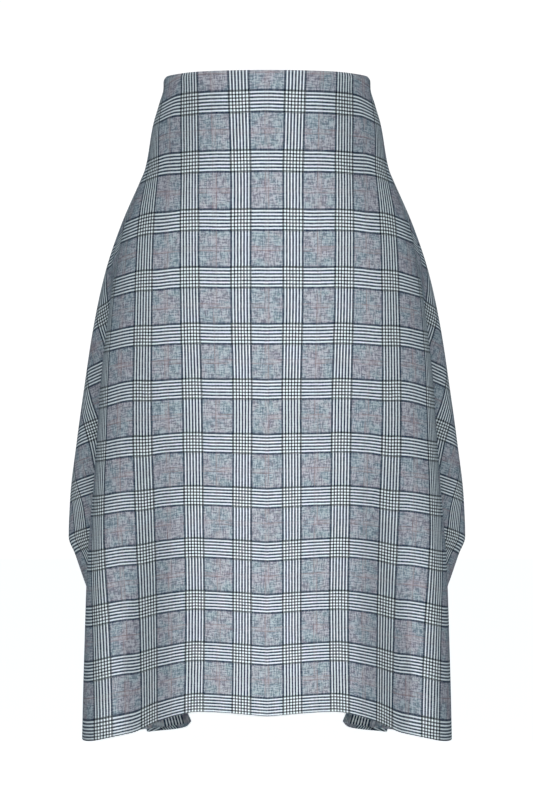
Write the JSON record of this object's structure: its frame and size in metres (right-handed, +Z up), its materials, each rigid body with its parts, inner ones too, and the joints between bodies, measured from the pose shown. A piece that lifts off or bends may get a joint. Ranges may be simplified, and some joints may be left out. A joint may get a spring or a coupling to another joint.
{
  "type": "checked wool blanket skirt",
  "caption": "Worn-form midi skirt in checked wool, with a wide front that folds in deeply at each side over a cocoon-shaped back.",
  "frame": {"origin": "middle of the waist opening, at the height of its top edge, where the wearer holds the skirt", "axes": "+Z up, the front faces -Y, +X is the wearer's left"},
  "size_m": [0.5086, 0.278, 0.8321],
  "materials": {
    "cloth": "soft wool suiting in a blue, white and grey check with a thin pink overcheck, matt",
    "zip_tape": "navy woven polyester tape, matt",
    "zip_metal": "navy lacquered metal, satin"
  },
  "bodies": {
    "skirt": {"front_panel": "cloth", "back_panel_left": "cloth", "back_panel_right": "cloth", "zip_tape_left": "zip_tape", "zip_tape_right": "zip_tape", "zip_slider": "zip_metal"},
    "pull_tab": {"zip_pull_tab": "zip_metal"}
  },
  "joints": [
    {"name": "tab_swing", "type": "hinge", "parent": "skirt", "child": "pull_tab", "pos_m": [0, 0.09853, -0.00924], "axis": [1, 0, 0], "range_deg": [0, 160]}
  ]
}
